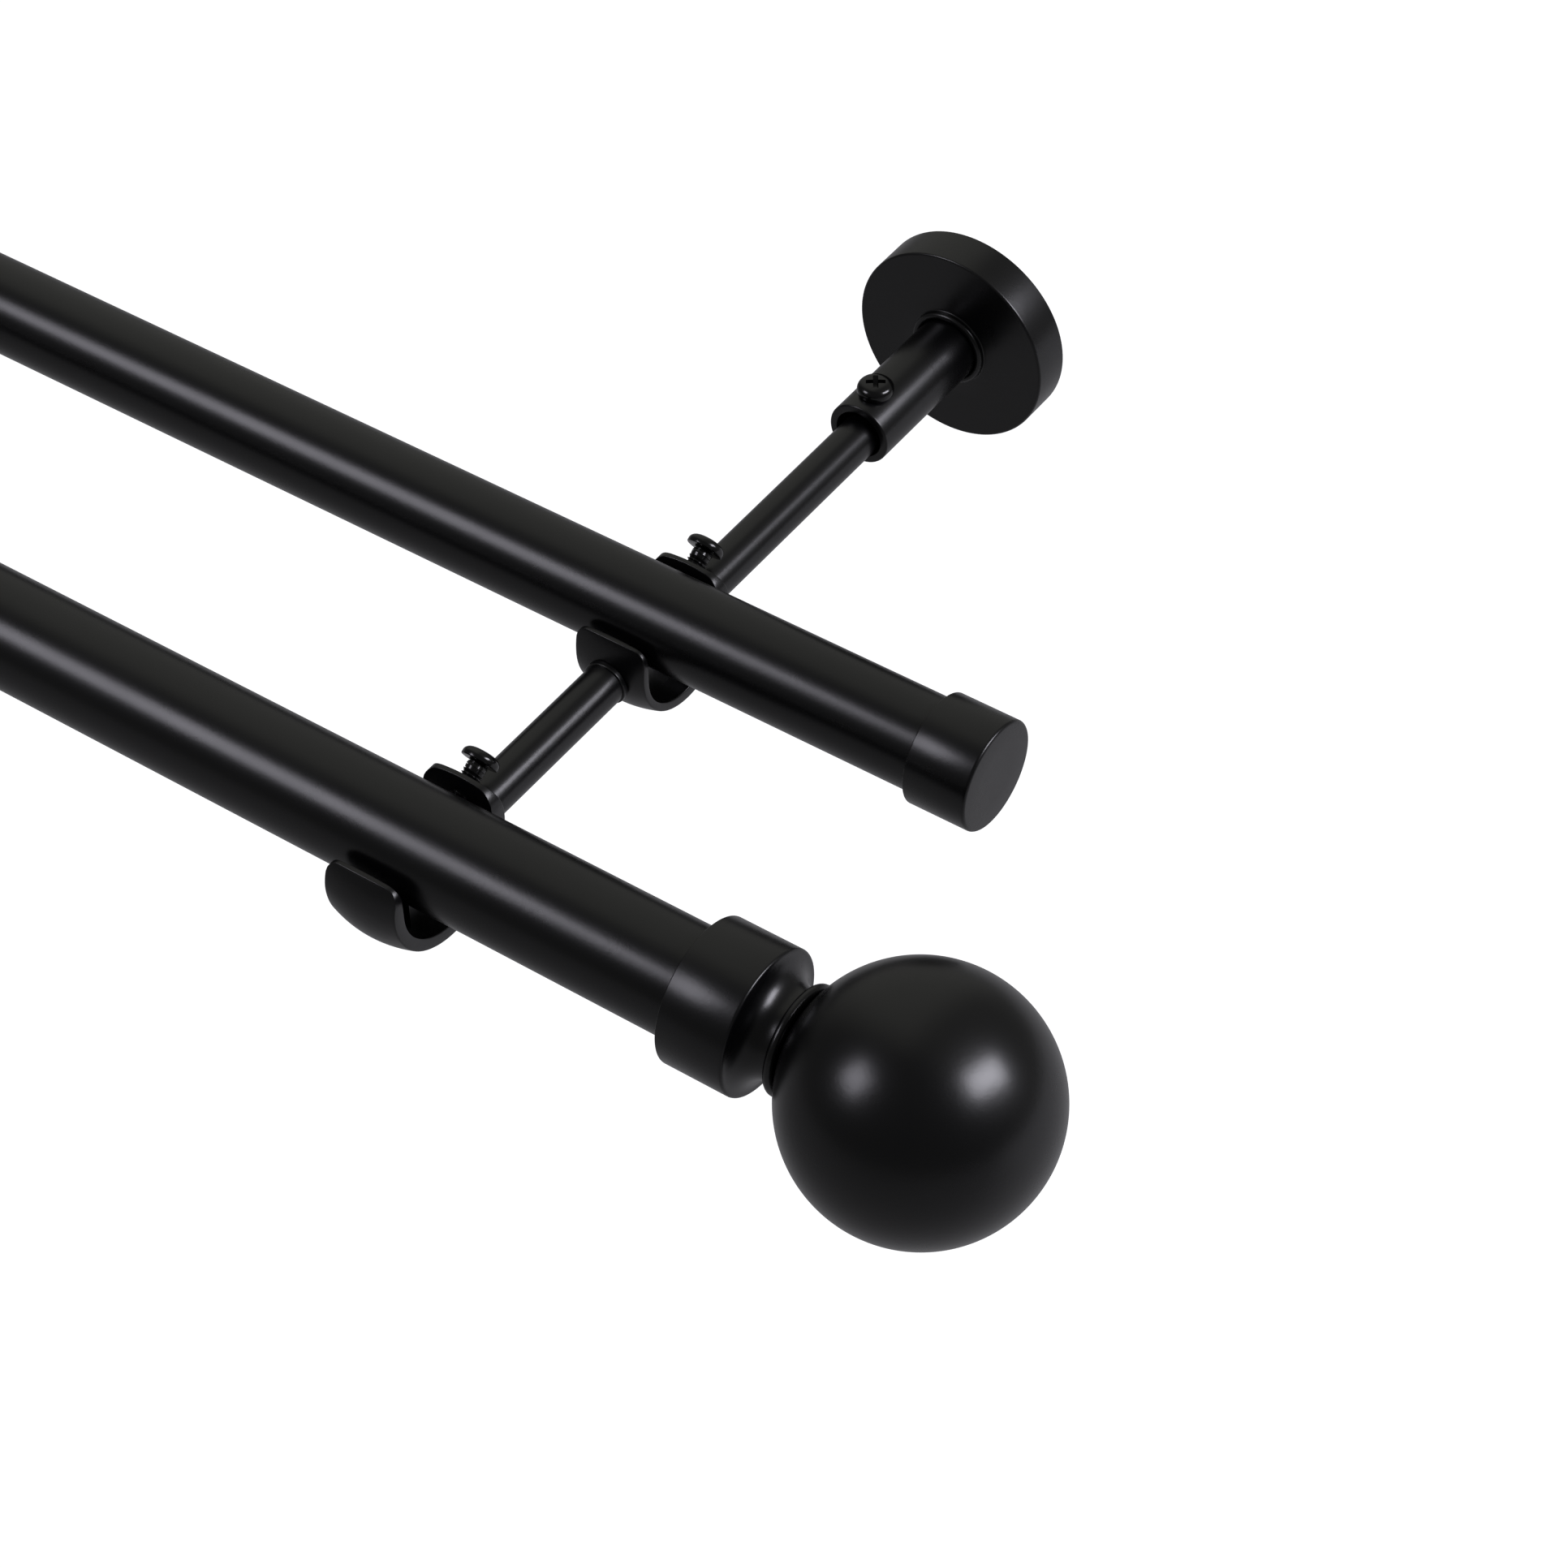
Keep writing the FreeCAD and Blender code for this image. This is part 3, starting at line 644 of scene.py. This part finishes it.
def cupSaddle(name, form, seat, place):
    # The pad inside a cup that carries the pole, sunk a little into the cup's wall
    half = saddleSizes["width"] / 2
    floor = form["inner"] + saddleSizes["sunk"]
    ys = np.linspace(-saddleSizes["reach"], saddleSizes["reach"], saddleSizes["points"])
    upper = [(y, -math.sqrt(seat ** 2 - y ** 2)) for y in ys]
    under = [(y, -form["drop"] - math.sqrt(floor ** 2 - y ** 2)) for y in ys]
    outline = upper + under[::-1]
    vertices = []
    for x in (-half, half):
        for y, z in outline:
            vertices.append(((place[0] + x) * mm, (place[1] + y) * mm, (place[2] + z) * mm))
    count = len(outline)
    faces = [[k, (k + 1) % count, count + (k + 1) % count, count + k] for k in range(count)]
    for base in (0, count):
        for k in range(len(ys) - 1):
            faces.append([base + k, base + k + 1, base + count - 2 - k, base + count - 1 - k])
    return newObject(name, vertices, faces)


def castCup(which, side):
    node = which + "_cup_" + side
    pole = which + "_pole"
    form = cupForms[which]
    centre = middle(pole)
    place = (middle(node)[0], centre[1], centre[2])
    shell = cupShell(node + "_shell", form, place)
    saddle = cupSaddle(node + "_saddle", form, radiusOf(pole) + saddleSizes["poleGap"], place)
    cup = joined(node + "_casting", [shell, saddle])
    finishPiece(cup, castCoat, "poles", node)


# Screws

# Shared by all screws, then a socket screw's own and a cup screw's own. ridgeShare is the radius of the
# thread's ridge as a share of the pitch. The cross's reach and width at its top and floor are shares of
# radius and slot.
screwSizes = {
    "shankRadius": 2.5, "headRadius": 4.4, "rimShare": 0.3, "rimRound": 0.25, "domeFlatness": 0.55,
    "domePoints": 25, "tipInset": 0.5, "tipLength": 0.6, "faces": 96, "sharpAngle": 35.0,
    "pitch": 0.8, "threadDepth": 0.46, "ridgeShare": 0.52, "ridgeSides": 3, "turnSteps": 40,
    "socketHead": 3.0, "socketTurn": 35.0,
    "cupHead": 2.6, "cupTurn": 20.0, "cupLength": 10.7, "cupTilt": 30.0, "cupProud": 7.5,
}
crossSizes = {
    "radius": 2.4, "slot": 1.15, "depth": 1.9, "above": 0.4,
    "top": {"reach": 1.12, "width": 1.15}, "floor": {"reach": 0.42, "width": 0.8},
}


def threadTree():
    # A spiral of the given radius, length and pitch, swept with a ridge's section
    tree = bpy.data.node_groups.new("screw_thread", "GeometryNodeTree")
    for label in ("Radius", "Length", "Pitch"):
        tree.interface.new_socket(label, in_out="INPUT", socket_type="NodeSocketFloat")
    tree.interface.new_socket("Material", in_out="INPUT", socket_type="NodeSocketMaterial")
    tree.interface.new_socket("Geometry", in_out="OUTPUT", socket_type="NodeSocketGeometry")
    given = tree.nodes.new("NodeGroupInput")
    result = tree.nodes.new("NodeGroupOutput")
    turns = addNode(tree, "ShaderNodeMath", {"operation": "DIVIDE"},
                    {0: given.outputs["Length"], 1: given.outputs["Pitch"]})
    spiral = addNode(tree, "GeometryNodeCurveSpiral", {"Resolution": screwSizes["turnSteps"]},
                     {"Rotations": turns.outputs[0], "Start Radius": given.outputs["Radius"],
                      "End Radius": given.outputs["Radius"], "Height": given.outputs["Length"]})
    width = addNode(tree, "ShaderNodeMath", {"operation": "MULTIPLY", 1: screwSizes["ridgeShare"]},
                    {0: given.outputs["Pitch"]})
    ridge = addNode(tree, "GeometryNodeCurvePrimitiveCircle", {"Resolution": screwSizes["ridgeSides"]},
                    {"Radius": width.outputs[0]})
    swept = addNode(tree, "GeometryNodeCurveToMesh", {"Fill Caps": True},
                    {"Curve": spiral.outputs["Curve"], "Profile Curve": ridge.outputs["Curve"]})
    real = addNode(tree, "GeometryNodeRealizeInstances", None, {"Geometry": swept.outputs["Mesh"]})
    painted = addNode(tree, "GeometryNodeSetMaterial", None,
                      {"Geometry": real.outputs["Geometry"], "Material": given.outputs["Material"]})
    tree.links.new(painted.outputs["Geometry"], result.inputs["Geometry"])
    return tree


threadNodes = threadTree()


def threadMesh(name, length):
    obj = linked(name, bpy.data.meshes.new(name))
    modifier = obj.modifiers.new("Thread", "NODES")
    modifier.node_group = threadNodes
    tip = screwSizes["tipLength"]
    pitch = screwSizes["pitch"]
    reach = screwSizes["shankRadius"] - pitch * screwSizes["ridgeShare"]
    values = {"Radius": reach * mm, "Length": (length - tip) * mm, "Pitch": pitch * mm,
              "Material": screwBlack}
    for item in threadNodes.interface.items_tree:
        if item.in_out == "INPUT":
            modifier[item.identifier] = values[item.name]
    applyModifiers(obj)
    obj.data.transform(Matrix.Translation((0, 0, (tip - length) * mm)))
    finishNormals(obj)
    return obj


def crossCutters(name, floor, top):
    # The two bars of a screw's tapered cross, from its floor to above the head
    cutters = []
    for turn in (0, 90):
        work = bmesh.new()
        bmesh.ops.create_cube(work, size=2.0)
        for vertex in work.verts:
            level = crossSizes["top" if vertex.co.z > 0 else "floor"]
            reach = math.copysign(crossSizes["radius"] * level["reach"], vertex.co.x)
            width = math.copysign(crossSizes["slot"] / 2 * level["width"], vertex.co.y)
            vertex.co = Vector((reach, width, top if vertex.co.z > 0 else floor))
        spin = Matrix.Rotation(math.radians(turn), 3, "Z")
        bmesh.ops.rotate(work, verts=work.verts, cent=(0, 0, 0), matrix=spin)
        bmesh.ops.scale(work, verts=work.verts, vec=(mm, mm, mm))
        mesh = bpy.data.meshes.new(name)
        work.to_mesh(mesh)
        work.free()
        cutters.append(linked(name, mesh))
    return cutters


def screwBody(name, length, height):
    head = screwSizes["headRadius"]
    rim = screwSizes["rimShare"] * height
    rounding = screwSizes["rimRound"]
    core = screwSizes["shankRadius"] - screwSizes["threadDepth"]
    tip = screwSizes["tipLength"]
    profile = [(-length, 0), (-length, core - screwSizes["tipInset"]), (tip - length, core), (0, core)]
    profile += [(0, head - rounding)]
    profile += arcPoints((rounding, head - rounding), rounding, 180, 90, arcDetail["mouth"])[1:]
    for turn in np.radians(np.linspace(0, 90, screwSizes["domePoints"])):
        flat = max(math.cos(turn), 0.0) ** screwSizes["domeFlatness"]
        profile.append((rim + (height - rim) * math.sin(turn), head * flat))
    return lathe(name, profile, (0, 0, 0), (0, 0, 1), segments=screwSizes["faces"])


def panScrew(name, length, height):
    # Pan head screw with its seat at the origin and its head towards +Z
    screw = screwBody(name + "_body", length, height)
    for cutter in crossCutters(name + "_cross", height - crossSizes["depth"], height + crossSizes["above"]):
        cut = screw.modifiers.new("Recess", "BOOLEAN")
        cut.operation = "DIFFERENCE"
        cut.object = cutter
        cut.solver = "EXACT"
        applyModifiers(screw)
        discard(cutter)
    finishNormals(screw, screwSizes["sharpAngle"])
    return joined(name, [screw, threadMesh(name + "_thread", length)])


def drive(screw, origin, axis, turn):
    # Puts a screw's seat at an origin, its head along an axis and its cross turned by some degrees
    tilt = Vector((0, 0, 1)).rotation_difference(Vector(axis)).to_matrix().to_4x4()
    spin = Matrix.Rotation(math.radians(turn), 4, "Z")
    screw.data.transform(Matrix.Translation(Vector(origin) * mm) @ tilt @ spin)


def cupScrew(which, side):
    # Leaves the tongue's outside tilted upwards, with its head well clear of it
    node = which + "_cup_screw_" + side
    form = cupForms[which]
    centre = middle(which + "_pole")
    tilt = math.radians(screwSizes["cupTilt"])
    axis = Vector((0, math.cos(tilt), math.sin(tilt)))
    leavesY = centre[1] + form["inner"] + cupSizes["screwWall"]
    leaves = Vector((middle(node)[0], leavesY, centre[2] + form["screwZ"]))
    screw = panScrew(node + "_screw", screwSizes["cupLength"], screwSizes["cupHead"])
    turn = screwSizes["cupTurn"] if side == "right" else -screwSizes["cupTurn"]
    drive(screw, leaves + axis * screwSizes["cupProud"], axis, turn)
    finishPiece(screw, screwBlack, "poles", node)


def socketScrew(side):
    node = "socket_screw_" + side
    low, high = box(node)
    centre = middle(node)
    head = screwSizes["socketHead"]
    seat = high[2] - head
    screw = panScrew(node + "_screw", seat - low[2], head)
    turn = screwSizes["socketTurn"] if side == "right" else -screwSizes["socketTurn"]
    drive(screw, (centre[0], centre[1], seat), (0, 0, 1), turn)
    finishPiece(screw, screwBlack, "wall_brackets", node)


for poleName in ("front_pole", "rear_pole"):
    poleTube(poleName)
print("poles built")
for sideName in sides:
    rearCap(sideName)
    finialBase(sideName)
    finialBall(sideName)
    coverRosette(sideName)
    wallSocket(sideName)
    socketScrew(sideName)
    armRod("rear_arm_" + sideName, False)
    armRod("front_arm_" + sideName, True)
    for cupName in ("front", "rear"):
        castCup(cupName, sideName)
        cupScrew(cupName, sideName)
    for hidden in ("wall_plate_", "plate_bolt_", "finial_stud_"):
        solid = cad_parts[hidden + sideName]
        solid.data.materials.clear()
        solid.data.materials.append(zincPlate)
    print(sideName + " bracket and pole ends built")


# Studio, in metres

# The dome is dark in front and brightens upwards and towards the back, from start to full. Its strength
# falls to rightShare on the right and to horizonShare at the horizon.
dome = {"colour": (1.0, 1.0, 0.92, 1.0), "level": 0.39, "frontLevel": 0.004, "start": 0.1, "full": 0.65,
        "ceilingShare": 0.45, "horizonShare": 0.45, "horizonTop": 0.7, "rightShare": 0.3,
        "glowLeft": -0.3, "glowRight": 0.05}
# The paper's colour is darker in front and paler at the back along Y: painted shade that stands in for less
# light on the floor towards the front. lift is its glow where the background is shown
paper = {"halfSize": 12.0, "height": -0.62, "lift": 0.82, "roughness": 0.9, "front": -0.7, "back": 0.35,
         "frontPaintedShade": 0.25, "backPaintedShade": 0.5}
# Share of the white background that reflections see. At 1 the black coat turns grey
reflectedShare = 0.1

# From is a lamp's direction as seen from the target, worked out from the photo's highlights on the ball
# and poles
lampTarget = (0.2, -0.17, 0.0)
lamps = {
    "softbox_left": {"from": (-0.522, -0.552, 0.615), "distance": 5.0, "size": (1.65, 1.65), "watts": 52.0,
                     "colour": (0.92, 0.90, 1.0), "turn": 0.0},
    "softbox_right": {"from": (0.720, 0.290, 0.631), "distance": 5.0, "size": (2.8, 1.5), "watts": 172.0,
                      "colour": (0.92, 0.91, 1.0), "turn": -30.0},
}


def softbox(name, lamp):
    light = bpy.data.lights.new(name, "AREA")
    light.shape = "RECTANGLE"
    light.size, light.size_y = lamp["size"]
    light.energy = lamp["watts"]
    light.color = lamp["colour"]
    obj = linked(name, light)
    target = Vector(lampTarget)
    obj.location = target + Vector(lamp["from"]).normalized() * lamp["distance"]
    aim = (target - obj.location).to_track_quat("-Z", "Y")
    obj.rotation_euler = (aim @ Quaternion((0, 0, 1), math.radians(lamp["turn"]))).to_euler()


def shownShare(tree):
    # 1 for rays from the camera or through glass, a set share for reflections, 0 for light on the object
    path = addNode(tree, "ShaderNodeLightPath")
    direct = addNode(tree, "ShaderNodeMath", {"operation": "MAXIMUM"},
                     {0: path.outputs["Is Camera Ray"], 1: path.outputs["Is Transmission Ray"]})
    mirrored = addNode(tree, "ShaderNodeMath", {"operation": "MULTIPLY", 1: reflectedShare},
                       {0: path.outputs["Is Glossy Ray"]})
    share = addNode(tree, "ShaderNodeMath", {"operation": "MAXIMUM"},
                    {0: direct.outputs[0], 1: mirrored.outputs[0]})
    return share.outputs[0]


def studioWorld():
    # White where the background is shown, the dome for light on the object, and a mix in reflections
    world = bpy.data.worlds.new("studio")
    bpy.context.scene.world = world
    world.use_nodes = True
    tree = world.node_tree
    tree.nodes.clear()
    seen = addNode(tree, "ShaderNodeBackground", {"Color": (1, 1, 1, 1), "Strength": 1.0})
    direction = addNode(tree, "ShaderNodeTexCoord").outputs["Generated"]
    parts = addNode(tree, "ShaderNodeSeparateXYZ", None, {0: direction})
    height = addNode(tree, "ShaderNodeMath", {"operation": "MULTIPLY_ADD", 1: dome["ceilingShare"]},
                     {0: parts.outputs["Z"], 2: parts.outputs["Y"]})
    level = addNode(tree, "ShaderNodeMapRange",
                    {"interpolation_type": "SMOOTHSTEP",
                     "From Min": dome["start"], "From Max": dome["full"],
                     "To Min": dome["frontLevel"], "To Max": dome["level"]},
                    {"Value": height.outputs[0]})
    rise = addNode(tree, "ShaderNodeMapRange",
                   {"From Max": dome["horizonTop"], "To Min": dome["horizonShare"]},
                   {"Value": parts.outputs["Z"]})
    fade = addNode(tree, "ShaderNodeMapRange",
                   {"interpolation_type": "SMOOTHSTEP",
                    "From Min": dome["glowLeft"], "From Max": dome["glowRight"],
                    "To Min": 1.0, "To Max": dome["rightShare"]},
                   {"Value": parts.outputs["X"]})
    above = addNode(tree, "ShaderNodeMath", {"operation": "MULTIPLY"},
                    {0: level.outputs[0], 1: rise.outputs[0]})
    strength = addNode(tree, "ShaderNodeMath", {"operation": "MULTIPLY"},
                       {0: above.outputs[0], 1: fade.outputs[0]})
    lit = addNode(tree, "ShaderNodeBackground", {"Color": dome["colour"]},
                  {"Strength": strength.outputs[0]})
    mix = addNode(tree, "ShaderNodeMixShader", None,
                  {0: shownShare(tree), 1: lit.outputs[0], 2: seen.outputs[0]})
    addNode(tree, "ShaderNodeOutputWorld", None, {"Surface": mix.outputs[0]})


def studioFloor():
    # Pale paper, darker towards the front as painted shade, lifted to white where the background is shown,
    # which keeps its shadow
    size = paper["halfSize"]
    height = paper["height"]
    corners = [(-size, -size, height), (size, -size, height), (size, size, height), (-size, size, height)]
    mesh = bpy.data.meshes.new("floor")
    mesh.from_pydata(corners, [], [(0, 1, 2, 3)])
    floor = linked("floor", mesh)
    material, tree, shader = newMaterial("pale_paper_floor")
    shader.inputs["Roughness"].default_value = paper["roughness"]
    shader.inputs["Specular IOR Level"].default_value = 0.0
    shader.inputs["Emission Color"].default_value = (1, 1, 1, 1)
    coordinates = addNode(tree, "ShaderNodeTexCoord").outputs["Object"]
    parts = addNode(tree, "ShaderNodeSeparateXYZ", None, {0: coordinates})
    # Base colour from front to back: painted shade, darker where less light would fall on the floor
    pale = addNode(tree, "ShaderNodeMapRange",
                   {"interpolation_type": "SMOOTHSTEP",
                    "From Min": paper["front"], "From Max": paper["back"],
                    "To Min": paper["frontPaintedShade"], "To Max": paper["backPaintedShade"]},
                   {"Value": parts.outputs["Y"]})
    tree.links.new(pale.outputs[0], shader.inputs["Base Color"])
    lift = addNode(tree, "ShaderNodeMath", {"operation": "MULTIPLY", 1: paper["lift"]},
                   {0: shownShare(tree)})
    tree.links.new(lift.outputs[0], shader.inputs["Emission Strength"])
    mesh.materials.append(material)


# The photo's view, measured from the edges of the poles, arm, cap, ball and cover: place and sensor in
# millimetres, angles in degrees, focal length in the photo's pixels and clip distances in metres
photoView = {"place": (604.8, -653.9, 627.2), "yaw": 35.25, "pitch": 45.63, "roll": -0.77,
             "focalPixels": 5050.4, "photoPixels": 1932, "sensor": 36.0, "clipStart": 0.01, "clipEnd": 100.0}


def photoCamera():
    yaw, pitch, roll = (math.radians(photoView[k]) for k in ("yaw", "pitch", "roll"))
    forward = Vector((-math.sin(yaw) * math.cos(pitch), math.cos(yaw) * math.cos(pitch), -math.sin(pitch)))
    level = Vector((math.cos(yaw), math.sin(yaw), 0))
    upward = level.cross(forward)
    right = math.cos(roll) * level + math.sin(roll) * upward
    up = -math.sin(roll) * level + math.cos(roll) * upward
    data = bpy.data.cameras.new("photo_camera")
    data.sensor_width = photoView["sensor"]
    data.lens = photoView["focalPixels"] / photoView["photoPixels"] * photoView["sensor"]
    data.clip_start = photoView["clipStart"]
    data.clip_end = photoView["clipEnd"]
    camera = linked("photo_camera", data)
    matrix = Matrix((right, up, -forward)).transposed().to_4x4()
    matrix.translation = Vector(photoView["place"]) * mm
    camera.matrix_world = matrix
    bpy.context.scene.camera = camera


studioWorld()
studioFloor()
for lampName, lamp in lamps.items():
    softbox(lampName, lamp)
photoCamera()
bpy.context.scene.view_settings.view_transform = "Standard"
print("studio set")
